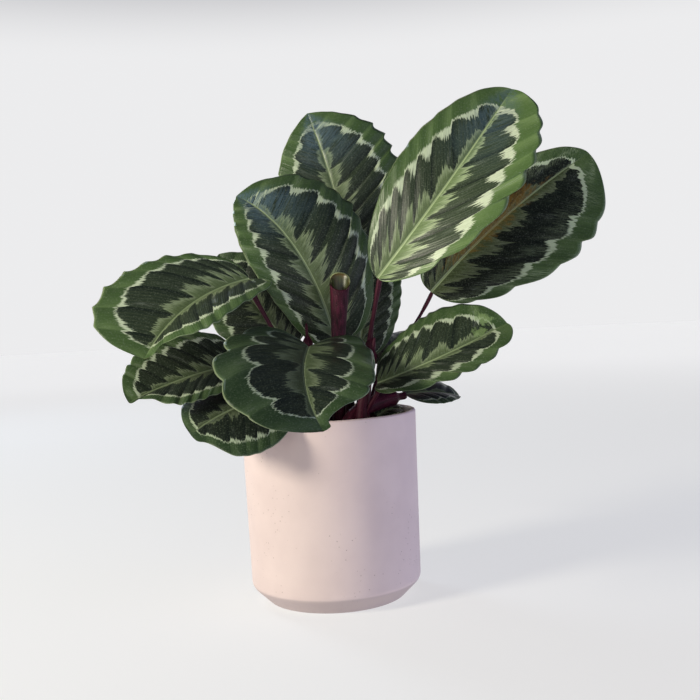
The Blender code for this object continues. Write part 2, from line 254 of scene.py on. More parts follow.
def pick(sockets, key):
    """The socket at an index, or the first one in use, or the one in use that has a name."""
    if isinstance(key, int):
        return sockets[key]
    return next(socket for socket in sockets if socket.enabled and key in (None, socket.name))


def forward(operation):
    """A method that adds one Math or Vector Math node, with its own socket as the first operand."""
    return lambda self, *others: self.math(operation, self, *others)


def reflected(operation):
    """The same with its own socket as the second operand."""
    return lambda self, other: self.math(operation, other, self)


class Field:
    """A socket of a node tree. Python's operators on it add Math or Vector Math nodes."""

    def __init__(self, tree, socket=None):
        self.tree = tree
        self.socket = socket

    def node(self, kind, settings=None, values=None, out=None):
        """Adds a node, sets it, feeds its sockets and returns one of its outputs."""
        made = self.tree.nodes.new(kind)
        for name, value in (settings or {}).items():
            setattr(made, name, value)
        for key, value in (values or {}).items():
            self.feed(pick(made.inputs, key), value)
        return Field(self.tree, pick(made.outputs, out) if len(made.outputs) else None)

    def feed(self, socket, value):
        if isinstance(value, Field):
            self.tree.links.new(value.socket, socket)
        elif isinstance(value, list):
            for item in reversed(value):
                self.feed(socket, item)
        elif socket.type == "VECTOR" and isinstance(value, (int, float)):
            socket.default_value = (value, value, value)
        elif socket.type == "RGBA" and len(value) == 3:
            socket.default_value = (*value, 1)
        else:
            socket.default_value = value

    def other(self, key):
        """Another output of the same node."""
        return Field(self.tree, pick(self.socket.node.outputs, key))

    def math(self, operation, *operands):
        def is_vector(x):
            return isinstance(x, (tuple, Vector)) or isinstance(x, Field) and x.socket.type == "VECTOR"

        kind = "ShaderNodeVectorMath" if any(map(is_vector, operands)) else "ShaderNodeMath"
        out = "Value" if operation in ("DOT_PRODUCT", "LENGTH") else None
        return self.node(kind, {"operation": operation}, dict(enumerate(operands)), out)

    __add__, __radd__ = forward("ADD"), reflected("ADD")
    __sub__, __rsub__ = forward("SUBTRACT"), reflected("SUBTRACT")
    __mul__, __rmul__ = forward("MULTIPLY"), reflected("MULTIPLY")
    __truediv__, __rtruediv__ = forward("DIVIDE"), reflected("DIVIDE")
    __pow__, __abs__ = forward("POWER"), forward("ABSOLUTE")
    sin, cos, exp, sign, fraction = map(forward, ("SINE", "COSINE", "EXPONENT", "SIGN", "FRACT"))
    least, most, above = map(forward, ("MINIMUM", "MAXIMUM", "GREATER_THAN"))
    dot, cross, length, unit = map(forward, ("DOT_PRODUCT", "CROSS_PRODUCT", "LENGTH", "NORMALIZE"))

    def __neg__(self):
        return self * -1

    def ramp(self, low, high):
        """0 below low, 1 above high and a smooth step between them; high may be the lower one."""
        values = {"Value": self, "From Min": low, "From Max": high}
        return self.node("ShaderNodeMapRange", {"interpolation_type": "SMOOTHSTEP"}, values)

    def parts(self):
        x = self.node("ShaderNodeSeparateXYZ", {}, {0: self})
        return [x.other(i) for i in range(3)]

    def vector(self, x, y=0.0, z=0.0):
        return self.node("ShaderNodeCombineXYZ", {}, {"X": x, "Y": y, "Z": z})

    def noise(self, place, scale=1.0, detail=2.0, roughness=0.5):
        values = {"Vector": place, "Scale": scale, "Detail": detail, "Roughness": roughness}
        return self.node("ShaderNodeTexNoise", {}, values)

    def spots(self, place, scale):
        """How far a place is from the nearest of many scattered points."""
        values = {"Vector": place, "Scale": scale}
        return self.node("ShaderNodeTexVoronoi", {"feature": "F1"}, values, "Distance")


def mix(share, low, high):
    """A number between two others."""
    return share.node("ShaderNodeMix", {"data_type": "FLOAT"}, {"Factor": share, "A": low, "B": high})


def blend(share, low, high):
    """A colour between two others."""
    return share.node("ShaderNodeMix", {"data_type": "RGBA"}, {"Factor": share, "A": low, "B": high})


def geometry_tree(name, numbers=(), vectors=(), materials=(), counts=(), surface=False):
    """A new geometry tree with named inputs, and those inputs as fields."""
    tree = bpy.data.node_groups.new(name, "GeometryNodeTree")
    tree.interface.new_socket("Geometry", in_out="OUTPUT", socket_type="NodeSocketGeometry")
    if surface:
        tree.interface.new_socket("Surface", in_out="INPUT", socket_type="NodeSocketGeometry")
    kinds = {"Float": numbers, "Vector": vectors, "Material": materials, "Int": counts}
    for kind, names in kinds.items():
        for label in names:
            tree.interface.new_socket(label, in_out="INPUT", socket_type=f"NodeSocket{kind}")
    inputs = tree.nodes.new("NodeGroupInput").outputs
    return tree, {socket.name: Field(tree, socket) for socket in inputs if socket.name}


def end_tree(geometry, material=None, smooth=True):
    """Closes a tree with Realize Instances, Set Material where it isn't set yet, and the output."""
    solid = geometry.node("GeometryNodeRealizeInstances", {}, {"Geometry": geometry})
    solid = geometry.node("GeometryNodeSetShadeSmooth", {}, {"Geometry": solid, "Shade Smooth": smooth})
    if material:
        solid = coated(solid, material)
    geometry.node("NodeGroupOutput", {}, {0: solid})


def coated(geometry, material):
    return geometry.node("GeometryNodeSetMaterial", {}, {"Geometry": geometry, "Material": material})


def moved(geometry, place):
    return geometry.node("GeometryNodeSetPosition", {}, {"Geometry": geometry, "Position": place})


def noted(geometry, name, value):
    """Stores a vector on the points for the materials to read."""
    values = {"Geometry": geometry, "Name": name, "Value": value}
    return geometry.node("GeometryNodeStoreNamedAttribute", {"data_type": "FLOAT_VECTOR"}, values)


def charted(geometry, x, y):
    """Stores a flat layout of the surface for the finishes to be baked on."""
    settings = {"data_type": "FLOAT2", "domain": "CORNER"}
    values = {"Geometry": geometry, "Name": "OFBake", "Value": geometry.vector(x, y)}
    return geometry.node("GeometryNodeStoreNamedAttribute", settings, values)


def unit_grid(tree, across, along):
    """A grid of points, and how far each is along it and across it, from 0 to 1."""
    sizes = {"Size X": 1.0, "Size Y": 1.0, "Vertices X": along, "Vertices Y": across}
    grid = Field(tree).node("GeometryNodeMeshGrid", {}, sizes)
    u, v, _ = grid.other("UV Map").parts()
    return grid, u, v


def closed(pieces):
    """Joins the pieces and welds the points that coincide."""
    joined = pieces[0].node("GeometryNodeJoinGeometry", {}, {"Geometry": pieces})
    values = {"Geometry": joined, "Distance": WELD}
    return joined.node("GeometryNodeMergeByDistance", {}, values)


def flipped(geometry):
    return geometry.node("GeometryNodeFlipFaces", {}, {"Mesh": geometry})


def grow(name, tree, values, surface=None):
    """The plain mesh that a geometry tree gives for these inputs, as an object at the origin."""
    obj = bpy.data.objects.new(name, surface or bpy.data.meshes.new(name))
    bpy.context.scene.collection.objects.link(obj)
    modifier = obj.modifiers.new(name, "NODES")
    modifier.node_group = tree
    for item in tree.interface.items_tree:
        if item.in_out == "INPUT" and item.name in values:
            modifier[item.identifier] = values[item.name]
    grown = obj.evaluated_get(bpy.context.evaluated_depsgraph_get())
    obj.data = bpy.data.meshes.new_from_object(grown)
    obj.data.name = name
    obj.modifiers.clear()
    while obj.data.materials and obj.data.materials[0] is None:
        obj.data.materials.pop(index=0)
    return obj


def declare(piece, slot, *nodes):
    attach(piece, "root")
    if nodes:
        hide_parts(*nodes)


# ---------------------------------------------------------------- leaf blades

HALVES = ("left", "right")
PAIRED = ("width", "fold", "curl", "lobe", "egg", "nip", "veins", "scallop", "tone")
LOOKS = ("Sweep", "Crowding", "Pleat", "Ruffle", "Seed")


def blade_tree():
    """A blade from a grid that runs from base to tip and from the right margin to the left one."""
    numbers = [f"{half} {what}" for what in PAIRED for half in HALVES]
    numbers += ["Length", "Base bluntness", "Tip bluntness", "Edge thickness", *LOOKS]
    tree, given = geometry_tree(
        "leaf blade", numbers, ("Base", "Pull", "Tip", "Facing", "Ring"), ("Upper side", "Under side"),
        ("Points along", "Points across"),
    )
    grid, u, v = unit_grid(tree, given["Points across"], given["Points along"])
    turn = u * math.pi
    round_turn = turn.sin().most(0)
    share = (1 - turn.cos()) * 0.5
    centred = v * 2 - 1
    half = centred.sign()
    across = abs(centred) ** MIDRIB_CROWDING
    is_left = half.most(0)
    width, fold, curl, lobe, egg, nip, veins, scallop, tone = (
        mix(is_left, given[f"right {what}"], given[f"left {what}"]) for what in PAIRED
    )
    length, seed = given["Length"], given["Seed"]
    stray = VEIN_STRAY * (share * 9 + seed + half).sin()
    phase = share ** given["Crowding"] * veins + stray + FIRST_VEIN
    swell = (phase.fraction() ** 1.5 * math.pi).sin() ** 0.7

    blunt = mix(share, given["Base bluntness"], given["Tip bluntness"])
    uneven = grid.noise(grid.vector(phase * 0.9, seed, half * 3), 1.0, 0.0) * 1.6 + 0.2
    bay = (phase.fraction() * math.pi).sin()
    notch = 1 - scallop * uneven * (1 - bay) * round_turn**0.4
    near_tip = (share - NIP_PLACE) * 9
    drawn_in = 1 - nip * (-(near_tip * near_tip)).exp()
    margin_y = width * round_turn ** blunt * (1 + egg * turn.cos()) * notch * drawn_in
    margin_x = length * (share - lobe * round_turn * (1 - share) ** 4)
    rib_x = length * share ** given["Sweep"]
    x = rib_x + (margin_x - rib_x) * across**1.15
    y = margin_y * across

    ahead = x / length
    back = 1 - ahead
    base, pull, tip = given["Base"], given["Pull"], given["Tip"]
    rib = base * (back * back) + pull * (2 * back * ahead) + tip * (ahead * ahead)
    along = ((pull - base) * back + (tip - pull) * ahead).unit()
    up = (given["Facing"] - along * along.dot(given["Facing"])).unit()
    left = up.cross(along)

    angle = fold + curl * y / width
    sideways = width / curl * (angle.sin() - fold.sin()) * half
    rise = width / curl * (fold.cos() - angle.cos())
    wander = grid.noise(grid.vector(x, y * half, seed * 0.1), 28.0, 1.0) - 0.5
    open_part = (across * (1.25 - across)).most(0) * round_turn
    fine = (phase * (3 * FULL_TURN)).cos() * 0.09
    pleats = given["Pleat"] * (swell - 0.5 + fine) * open_part * 2
    waves = given["Ruffle"] * across**3 * round_turn * (phase * FULL_TURN + wander * 5).sin()
    rib_slope = y / RIDGE_HALF_WIDTH
    rib_shape = (-(rib_slope * rib_slope)).exp()
    groove = GROOVE_DEPTH * rib_shape * round_turn
    rise = rise + (pleats + waves + wander * across * given["Ruffle"] * 5 * round_turn) - groove
    upper = rib + left * sideways + up * rise

    closing = ((1 - across) * EDGE_TAPER).least(1) * (round_turn * EDGE_TAPER).least(1)
    ridge = rib_shape * RIDGE_HEIGHT * (1 - share * 0.8)
    lower = upper - up * ((given["Edge thickness"] + ridge) * closing)

    sheet = noted(grid, "blade", grid.vector(ahead, across * half, y / MM))
    sheet = noted(sheet, "vein", grid.vector(phase, seed, tone))
    sheet = noted(sheet, "ring", given["Ring"])
    spread = (given["left width"] + given["right width"]) * 2.4
    chart_x, chart_y = y * half / spread, x / (length * 1.4) + 0.2
    top = coated(moved(charted(sheet, chart_x + 0.25, chart_y), upper), given["Upper side"])
    bottom = coated(moved(charted(sheet, chart_x + 0.75, chart_y), lower), given["Under side"])
    end_tree(closed([top, flipped(bottom)]))
    return tree


def direction(azimuth, elevation):
    around, up = math.radians(azimuth), math.radians(elevation)
    return Vector((math.sin(around) * math.cos(up), -math.cos(around) * math.cos(up), math.sin(up)))


def rib_points(leaf):
    """Base, pulling point and tip of the midrib's parabola, in metres."""
    base, middle, tip = (Vector(point) * MM for point in leaf.rib)
    return base, 2 * middle - (base + tip) / 2, tip


def rib_length(leaf):
    base, pull, tip = (np.array(point) for point in rib_points(leaf))
    s = np.linspace(0, 1, 101)[:, None]
    points = (1 - s) ** 2 * base + 2 * s * (1 - s) * pull + s**2 * tip
    return float(np.linalg.norm(np.diff(points, axis=0), axis=1).sum())


def grow_blade(name, leaf, tree, seed, upper, under):
    base, pull, tip = rib_points(leaf)
    values = {
        "Length": rib_length(leaf), "Base bluntness": leaf.blunt[0], "Tip bluntness": leaf.blunt[1],
        "Edge thickness": BLADE_EDGE, "Sweep": leaf.sweep, "Crowding": leaf.crowd,
        "Pleat": leaf.pleat * MM, "Ruffle": leaf.ruffle * MM, "Seed": float(seed),
        "Ring": Vector(leaf.ring), "Base": base, "Pull": pull, "Tip": tip, "Facing": direction(*leaf.face),
        "Upper side": upper, "Under side": under, **BLADE_POINTS,
    }
    for i, half in enumerate(HALVES):
        values[f"{half} width"] = leaf.width[i] * MM
        values[f"{half} fold"] = math.radians(leaf.fold[i])
        values[f"{half} curl"] = math.radians(leaf.curl[i] + 0.01)
        for what in ("lobe", "egg", "nip", "veins", "scallop", "tone"):
            values[f"{half} {what}"] = float(getattr(leaf, what)[i])
    blade = grow(f"leaf_{name}", tree, values)
    declare(blade, "leaf", f"blade_{name}")


# ---------------------------------------------------------------- stalks


def bezier(points, s):
    a, b, c, d = points
    r = 1 - s
    place = a * (r * r * r) + b * (3 * r * r * s) + c * (3 * r * s * s) + d * (s * s * s)
    way = (b - a) * (r * r) + (c - b) * (2 * r * s) + (d - c) * (s * s)
    return place, way.unit()


def stalk_tree():
    """A stalk from a grid: rooted in the soil, sheathed low down, thin above, swollen at the top."""
    tree, given = geometry_tree(
        "leaf stalk", ("Foot radius", "Neck radius", "Top radius", "Root", "Seed"),
        ("Foot", "First pull", "Last pull", "Top", "Plane"), ("Skin",), ("Points along", "Points around"),
    )
    grid, s, v = unit_grid(tree, given["Points around"], given["Points along"])
    root = STALK_ROOT_SHARE
    route = [given[key] for key in ("Foot", "First pull", "Last pull", "Top")]
    place, way = bezier(route, ((s - root) / (1 - root)).most(0))
    place = place - grid.vector(0.0, 0.0, given["Root"] * (1 - s / root).most(0))
    front = given["Plane"].cross(way).unit()
    side = way.cross(front)

    neck = mix(((s - root) / 0.5).most(0).least(1), given["Foot radius"], given["Neck radius"])
    joint = s.ramp(JOINT_START, JOINT_END) * (given["Top radius"] - given["Neck radius"])
    sheath_end = SHEATHED + SHEATH_SLANT * (v * FULL_TURN).cos()
    sheath = s.ramp(sheath_end + 0.03, sheath_end) * (0.25 + 0.5 * v * v.ramp(1.0, 0.95)) * 0.4 * MM
    grain = grid.noise(grid.vector(s * 14, v * 5, given["Seed"]), 1.0, 2.0) - 0.5
    radius = neck + joint + sheath + grain * 0.3 * MM * v.ramp(0, 0.1) * v.ramp(1, 0.9)
    foot_taper, top_taper = STALK_TAPERS
    ends = (s * foot_taper).least(1) ** 0.5 * ((1 - s) * top_taper).least(1) ** 0.5
    turn = v * -FULL_TURN
    surface = place + (front * turn.cos() + side * turn.sin()) * (radius * ends)

    skin = noted(grid, "stalk", grid.vector(s, v, given["Seed"]))
    skin = charted(skin, v * 0.3 + 0.02, s * 0.96 + 0.02)
    end_tree(closed([moved(skin, surface)]), given["Skin"])
    return tree


def grow_stalk(name, route, radii, tree, seed, skin, *nodes):
    """A stalk along a route of foot, first pull, last pull and top."""
    foot, first, last, top = route
    reach = Vector((top.x - foot.x, top.y - foot.y, 0))
    plane = Vector((0, 0, 1)).cross(reach if reach.length > MM else Vector((1, 0, 0))).normalized()
    values = {
        "Foot": foot, "First pull": first, "Last pull": last, "Top": top, "Plane": plane,
        "Foot radius": radii[0], "Neck radius": radii[1], "Top radius": radii[2], "Root": STALK_ROOT,
        "Seed": float(seed), "Skin": skin, **STALK_POINTS,
    }
    stalk = grow(f"stem_{name}", tree, values)
    declare(stalk, "stalk", *nodes)


def stalk_route(foot, top, heading):
    start = Vector((*foot, 0)) * MM + Vector((0, 0, SOIL_TOP))
    span = (top - start).length * STALK_SWING
    return start, start + Vector((0, 0, span)), top - heading * span, top


def blade_stalk_route(leaf):
    """Up to the blade's base, where the stalk's swollen top meets the midrib's ridge."""
    base, pull, _ = rib_points(leaf)
    along = (pull - base).normalized()
    look = direction(*leaf.face)
    up = (look - along * along.dot(look)).normalized()
    heading = (along * leaf.reach + Vector((0, 0, 1 - leaf.reach))).normalized()
    return stalk_route(leaf.foot, base - up * 1.3 * MM + along * 2.5 * MM, heading)


# ---------------------------------------------------------------- the rolled young leaf


def roll_tree():
    """A young leaf still rolled up: a spiral sheet whose mouth slants down towards the front."""
    tree, given = geometry_tree(
        "rolled leaf", ("Foot radius", "Mouth radius", "Turns", "Slant", "Start turn", "Sheet thickness"),
        ("Foot", "Mouth"), ("Outside", "Inside"), ("Points along", "Points around"),
    )
    grid, s, v = unit_grid(tree, given["Points around"], given["Points along"])
    axis = given["Mouth"] - given["Foot"]
    way = axis.unit()
    front = grid.vector(1.0).cross(way).unit()
    side = way.cross(front)
    turn = (given["Start turn"] - v * given["Turns"]) * FULL_TURN
    out = front * turn.cos() + side * turn.sin()
    _, backwards, _ = out.parts()
    wander = grid.noise(grid.vector(s * 3, turn * 0.7), 1.0, 2.0) - 0.5
    wind_in = ROLL_GAP * v * given["Turns"]
    flare = ROLL_FLARE * s ** 12
    radius = mix(s, given["Foot radius"], given["Mouth radius"]) - wind_in + flare + wander * 0.5 * MM
    radius = radius * (s * 14).least(1) ** 0.5
    lip = backwards * given["Mouth radius"] * given["Slant"] + wander * 1.2 * MM
    height = s * (axis.length() + lip)
    outer = given["Foot"] + way * height + out * radius
    closing = ((1 - s) * ROLL_TAPER).least(1) * (v * ROLL_TAPER).least(1)
    closing = closing * ((1 - v) * ROLL_TAPER).least(1)
    inner = outer - out * (given["Sheet thickness"] * closing)
    sheet = noted(grid, "stalk", grid.vector(s, v, 5.0))
    outside = coated(moved(charted(sheet, v * 0.45 + 0.02, s * 0.6 + 0.02), outer), given["Outside"])
    inside = coated(moved(charted(sheet, v * 0.45 + 0.52, s * 0.6 + 0.02), inner), given["Inside"])
    end_tree(closed([outside, flipped(inside)]))
    return tree


# ---------------------------------------------------------------- the pot and its soil


def arc(centre, radius, start, end, count):
    """Points of an arc in the profile's plane, from one angle to another in degrees."""
    angles = np.radians(np.linspace(start, end, count))
    return [(centre[0] + radius * math.cos(a), centre[1] + radius * math.sin(a)) for a in angles]


def chamfer_turn(inset):
    """The rounded turn from wall to chamfer, moved inwards by inset."""
    lean = math.degrees(math.atan2(CHAMFER_HEIGHT, POT_LOWER_RADIUS - POT_BASE_RADIUS))
    tangent = TURN_ROUND * math.tan(math.radians(90 - lean) / 2)
    centre = (POT_LOWER_RADIUS - TURN_ROUND, CHAMFER_HEIGHT + tangent)
    return arc(centre, TURN_ROUND - inset, 0, lean - 90, TURN_POINTS)


def ladder(low, high, count):
    """Points between two others, without the ends, so that a long wall has more than one face."""
    shares = np.linspace(0, 1, count + 2)[1:-1]
    return [tuple(np.array(low) * (1 - s) + np.array(high) * s) for s in shares]


def lathe(name, profile, finish, steps):
    """A closed solid of revolution about the pot's axis."""
    built = bmesh.new()
    rings = []
    for radius, height in profile:
        if radius < 1e-9:
            rings.append([built.verts.new((0, 0, height))] * steps)
            continue
        around = [FULL_TURN * i / steps for i in range(steps)]
        points = [(radius * math.cos(a), radius * math.sin(a), height) for a in around]
        rings.append([built.verts.new(point) for point in points])
    for low, high in zip(rings, rings[1:]):
        for i in range(steps):
            ring = [low[i], low[(i + 1) % steps], high[(i + 1) % steps], high[i]]
            built.faces.new(list(dict.fromkeys(ring)))
    for face in built.faces:
        face.smooth = True
    bmesh.ops.recalc_face_normals(built, faces=built.faces)
    mesh = bpy.data.meshes.new(name)
    built.to_mesh(mesh)
    built.free()
    mesh.materials.append(finish)
    obj = bpy.data.objects.new(name, mesh)
    bpy.context.scene.collection.objects.link(obj)
    return obj


def make_pot():
    rim = POT_HEIGHT - RIM_ROUND
    inner = POT_RADIUS - WALL
    turn_in, turn_out = chamfer_turn(WALL), chamfer_turn(0)
    inside = [(0, FLOOR), (POT_BASE_RADIUS - WALL, FLOOR), *reversed(turn_in)]
    inside += ladder(turn_in[0], (inner, rim), INNER_BANDS)
    inside += arc((inner + RIM_ROUND, rim), RIM_ROUND, 180, 90, RIM_POINTS)
    outside = arc((POT_RADIUS - RIM_ROUND, rim), RIM_ROUND, 90, 0, RIM_POINTS)
    outside += ladder((POT_RADIUS, rim), turn_out[0], OUTER_BANDS)
    foot = arc((POT_BASE_RADIUS - RIM_ROUND, RIM_ROUND), RIM_ROUND, -45, -90, FOOT_POINTS)
    chamfer = ladder(turn_out[-1], foot[0], CHAMFER_BANDS)
    profile = inside + outside + turn_out + chamfer + foot + [(0, 0)]
    pot = lathe("glazed_pot", profile, pot_finish(), POT_STEPS)
    declare(pot, "pot", "pot")


def make_soil():
    """A plug of potting mix with an uneven top, low at the wall and heaped towards the stalks."""
    inner = POT_RADIUS - WALL - SOIL_GAP
    turn = chamfer_turn(WALL + SOIL_GAP)
    floor = FLOOR + SOIL_LIFT
    top = [(r, SOIL_TOP) for r in np.linspace(0, inner, SOIL_RINGS)]
    side = ladder((inner, SOIL_TOP), turn[0], SOIL_BANDS) + turn
    profile = top + side + [(POT_BASE_RADIUS - WALL - SOIL_GAP, floor), (0, floor)]
    soil = lathe("potting_mix", profile, soil_finish("potting mix", (0.030, 0.019, 0.012)), SOIL_STEPS)
    for vert in soil.data.vertices:
        if vert.co.z > SOIL_TOP - 0.1 * MM:
            out = math.hypot(vert.co.x, vert.co.y) / inner
            lumps = noise.noise(vert.co * 60) * 2.2 + noise.noise(vert.co * 220) * 1.1
            vert.co.z += (lumps + 1.0 - 4.0 * out**4) * MM * (1 - out**24)
    declare(soil, "soil", "soil")
    return soil


def crumb_tree():
    """Crumbs scattered over a surface's upward faces, each a small lump turned and sized at random."""
    tree, given = geometry_tree(
        "scattered crumbs", ("Density", "Smallest", "Largest", "Roughness"), ("Stretch",), ("Finish",),
        ("Seed",), surface=True,
    )
    start = Field(tree)
    normal = start.node("GeometryNodeInputNormal", {}, {}, "Normal")
    place = start.node("GeometryNodeInputPosition")
    _, _, upward = normal.parts()
    _, _, height = place.parts()
    density = given["Density"] * (upward.above(CRUMB_SLOPE) * height.above(SOIL_TOP - CRUMB_DEPTH))
    values = {"Mesh": given["Surface"], "Density": density, "Seed": given["Seed"]}
    points = start.node("GeometryNodeDistributePointsOnFaces", {}, values)
    lump = start.node("GeometryNodeMeshIcoSphere", {}, {"Radius": 1.0, "Subdivisions": 2})
    rough = start.noise(place, 1.6, 1.0) - 0.5
    lump = moved(lump, place * (1 + rough * given["Roughness"]) * given["Stretch"])
    turn = start.node(
        "FunctionNodeRandomValue", {"data_type": "FLOAT_VECTOR"},
        {"Min": (0.0, 0.0, 0.0), "Max": CRUMB_SPIN, "Seed": given["Seed"]},
    )
    size = start.node(
        "FunctionNodeRandomValue", {"data_type": "FLOAT"},
        {"Min": given["Smallest"], "Max": given["Largest"], "Seed": given["Seed"]},
    )
    values = {"Points": points, "Instance": lump, "Rotation": turn, "Scale": size}
    end_tree(start.node("GeometryNodeInstanceOnPoints", {}, values), given["Finish"], smooth=False)
    return tree


def make_crumbs(soil):
    tree = crumb_tree()
    for name, (finish, colour, lighter, density, sizes, stretch, roughness, seed) in CRUMBS.items():
        values = {
            "Density": density, "Smallest": sizes[0] * MM, "Largest": sizes[1] * MM, "Roughness": roughness,
            "Stretch": stretch, "Finish": soil_finish(finish, colour, lighter), "Seed": seed,
        }
        declare(grow(name, tree, values, soil.data), "soil")


# ---------------------------------------------------------------- finishes


def new_finish(name):
    made = bpy.data.materials.new(name)
    made.use_nodes = True
    made.node_tree.nodes.clear()
    return made, Field(made.node_tree)


def end_finish(start, values):
    shader = start.node("ShaderNodeBsdfPrincipled", {}, values)
    start.node("ShaderNodeOutputMaterial", {}, {"Surface": shader})


def stored(start, name):
    """The three numbers that a piece keeps on its points under a name."""
    return start.node("ShaderNodeAttribute", {"attribute_name": name}, {}, "Vector").parts()


def raised(start, height, distance, strength=1.0):
    return start.node("ShaderNodeBump", {}, {"Height": height, "Distance": distance, "Strength": strength})


def object_place(start):
    return start.node("ShaderNodeTexCoord", {}, {}, "Object")


def leaf_upper(name, blemishes=(), sky_reflection=0.0, shadow_and_sheen=0.0):
    """The painted upper side: feathered centre, dark field, brush-stroked pale ring and green margin.

    Blemishes, a painted blue sky reflection, and a painted shadow on the field with painted sheen streaks
    are one blade's own.
    """
    made, start = new_finish(name)
    ahead, across, rib_mm = stored(start, "blade")
    phase, seed, tone = stored(start, "vein")
    edge, bow, blots = stored(start, "ring")
    out = abs(across)
    cell = phase.fraction()
    vein_gap = 0.5 - abs(cell - 0.5)
    strand = seed * 7 + across.sign() * 3

    def brush(between, outward, depth, detail, roughness=0.5):
        """Noise with its own scale between two side veins and outward along them."""
        return start.noise(start.vector(phase * between, out * outward, depth), 1.0, detail, roughness)

    def by_light_and_age(old, young):
        """A colour between a dark blade's and a light one's: partly age, partly painted light and shade."""
        return blend(tone, old, young)

    strokes = brush(15, 2.2, strand, 2.0, 0.65)
    patches = brush(1.7, 1.5, strand, 1.0)
    fine = brush(75, 5, strand, 3.0, 0.7)

    reach = (out**4 + ahead.most(0) ** 12) ** 0.25
    lean = (blots * 10).least(1)
    dip = mix(lean, 1 - (cell * (1 - cell) * 4) ** 0.5, cell**1.5)
    frayed = brush(24, 3, strand + 50, 2.0, 0.7) - 0.5
    outer = edge - bow * dip + frayed * RING_FRAY + (patches - 0.5) * 0.06
    tooth = (-((vein_gap * 22) ** 2)).exp() * patches * 0.14
    blot = cell.ramp(0.25, 0.80) * cell.ramp(1.0, 0.94) * blots
    inner = outer - RING_WIDTH - blot * (strokes * 2.6 - 0.45).most(0.1) - tooth
    margin = reach.ramp(outer - RING_SOFTNESS, outer + RING_SOFTNESS)
    ring = reach.ramp(inner - RING_SOFTNESS, inner + RING_SOFTNESS)
    ring = ring * reach.ramp(outer + RING_SOFTNESS, outer - RING_SOFTNESS)

    tuft = cell.ramp(0.0, 0.55) * cell.ramp(1.0, 0.86)
    plume = (1 - ahead).most(0.001) ** 0.6 * 0.36 + 0.02
    feather = plume * (0.24 + 0.76 * tuft) * (strokes * 2.4 - 0.3).most(0.3)
    centre = out.ramp(feather + 0.02, feather - 0.02)
    tips = (out / feather).ramp(0.3, 1.0)

    shadow = cell.ramp(0.30, 0.02)
    lines = ((phase * (FINE_LINES * FULL_TURN)).cos() + (fine - 0.5) * 3).ramp(0.2, 1.2)
    dark = by_light_and_age((0.003, 0.006, 0.005), (0.028, 0.042, 0.022))
    streaked = blend(fine.ramp(0.35, 0.75), dark, by_light_and_age((0.014, 0.022, 0.016), (0.062, 0.090, 0.052)))
    streaked = blend(lines * 0.45, streaked, by_light_and_age((0.014, 0.020, 0.012), (0.100, 0.122, 0.068)))
    streaked = blend(shadow * 0.7, streaked, (0.004, 0.008, 0.007))
    # painted shadow: the dark field streaked near black where a blade lies in shade
    painted_shadow = fine.ramp(0.75, 0.45) * shadow_and_sheen
    streaked = blend(painted_shadow, streaked, (0.003, 0.005, 0.004))
    field = by_light_and_age((0.034, 0.046, 0.024), (0.180, 0.255, 0.110))
    field = blend(fine.ramp(0.55, 0.35) * 0.6, field, dark)
    field = blend(tips * 0.8, field, by_light_and_age((0.085, 0.110, 0.065), (0.440, 0.540, 0.320)))
    green = by_light_and_age((0.015, 0.032, 0.015), (0.085, 0.150, 0.046))
    lit_green = by_light_and_age((0.052, 0.088, 0.040), (0.195, 0.295, 0.110))
    # painted pleat light and shade: the margin's green lighter near each side vein, darker between
    painted_pleat_light = cell.ramp(0.45, 0.95) * 0.7 + cell.ramp(0.10, 0.0) * 0.7 + (fine - 0.5) * 1.4
    green = blend((painted_pleat_light * patches.ramp(0.2, 0.6)).least(1).most(0), green, lit_green)
    pale = by_light_and_age((0.310, 0.385, 0.265), (0.660, 0.740, 0.540))
    pale = blend(fine.ramp(0.45, 0.75) * 0.5, pale, lit_green)

    # painted shadow darkens the field further; the green margin and the pale ring get lighter streaks
    field = blend(painted_shadow * 0.6, field, (0.016, 0.018, 0.006))
    green = blend(fine.ramp(0.35, 0.65) * shadow_and_sheen * 0.6, green, (0.100, 0.165, 0.050))
    pale = blend(fine.ramp(0.30, 0.60) * shadow_and_sheen * 0.7, pale, (0.560, 0.680, 0.400))
    colour = blend(centre, streaked, field)
    colour = blend(margin, colour, green)
    colour = blend(ring, colour, pale)
    sheen = cell.ramp(0.70, 0.84) * cell.ramp(0.99, 0.90) * fine.ramp(0.48, 0.62)
    sheen = sheen * patches.ramp(0.52, 0.66) * out.ramp(0.15, 0.35)
    colour = blend(sheen * 0.5, colour, by_light_and_age((0.085, 0.105, 0.100), (0.560, 0.600, 0.520)))
    # painted reflection of a blue sky: blue-grey streaks towards the tip
    sky_reflection_streaks = ahead.ramp(0.50, 0.90) * out.ramp(0.80, 0.35) * (fine + strokes).ramp(0.82, 1.05)
    colour = blend(sky_reflection_streaks * sky_reflection, colour, (0.070, 0.115, 0.145))
    rib_half = 0.35 + (1 - ahead).most(0) * 0.75
    rib_gap = abs(rib_mm)
    midrib = rib_gap.ramp(rib_half + 0.25, rib_half - 0.1) * ahead.ramp(0.98, 0.85)
    rib_pale = by_light_and_age((0.130, 0.170, 0.095), (0.400, 0.500, 0.270))
    colour = blend(midrib, colour, rib_pale)
    colour = blend(rib_gap.ramp(0.28, 0.08) * midrib * 0.55, colour, field)
    # painted highlight: a thin pale line along the margin, where light catches the edge
    colour = blend(out.ramp(0.98, 0.992) * 0.6, colour, (0.320, 0.390, 0.230))
    place = object_place(start)
    dots = start.spots(place, 330.0)
    dusty = start.noise(place, 60.0, 1.0).ramp(0.50, 0.62)
    colour = blend(dots.ramp(0.16, 0.08) * dusty * 0.35, colour, (0.300, 0.360, 0.240))
    ragged = brush(6, 5, 2.0, 4.0, 0.75) - 0.5
    for at, size, stain in blemishes:
        gap = start.vector((ahead - at[0]) / size[0], (across - at[1]) / size[1]).length() + ragged * 3.0
        colour = blend(gap.ramp(1.1, 0.5) * (0.15 + fine).least(1), colour, stain)
